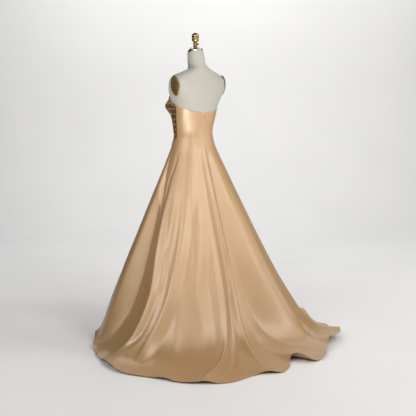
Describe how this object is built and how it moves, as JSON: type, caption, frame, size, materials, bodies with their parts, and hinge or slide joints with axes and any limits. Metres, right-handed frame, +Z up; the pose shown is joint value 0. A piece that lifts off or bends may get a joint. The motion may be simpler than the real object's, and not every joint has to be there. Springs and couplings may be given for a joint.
{
  "type": "a-line evening gown on dress form",
  "caption": "Strapless A-line satin evening gown with a beaded basque bodice and a sweep train, on a limbless dress form with a pole stand.",
  "frame": {"origin": "on the floor, at the centre of the stand base's underside, under the pole", "axes": "+Z up along the pole, -Y the gown's front, +Y its back and train, +X the wearer's left"},
  "size_m": [1.5082, 1.3569, 1.7424],
  "materials": {
    "gold_satin": "heavy duchess satin, champagne gold",
    "beaded_lace": "beaded all over in plum, brown and gold",
    "form_canvas": "cream canvas over a hard hollow shell",
    "aged_brass": "aged, satin",
    "cap_steel": "polished, darkened",
    "stand_iron": "black enamel on iron",
    "zip_metal": "lacquered in the cloth's colour"
  },
  "bodies": {
    "gown_on_form": {"back_left": "gold_satin", "back_right": "gold_satin", "side_back_left": "gold_satin", "side_back_right": "gold_satin", "skirt_front": "gold_satin", "skirt_side_front_left": "gold_satin", "skirt_side_front_right": "gold_satin", "bodice_front": "beaded_lace", "bodice_side_front_left": "beaded_lace", "bodice_side_front_right": "beaded_lace", "form_torso": "form_canvas", "arm_plate_left": "aged_brass", "arm_plate_right": "aged_brass", "finial": "aged_brass", "neck_cap": "cap_steel", "cap_screw": "cap_steel", "stand_flange": "stand_iron", "stand_pole": "stand_iron", "stand_base": "stand_iron", "zip_slider": "zip_metal"},
    "zip_tab": {"zip_pull": "zip_metal"}
  },
  "joints": [
    {"name": "zip_pull_hinge", "type": "hinge", "parent": "gown_on_form", "child": "zip_tab", "pos_m": [0, 0.08219, 1.278], "axis": [1, 0, 0], "range_deg": [-4, 150]}
  ]
}
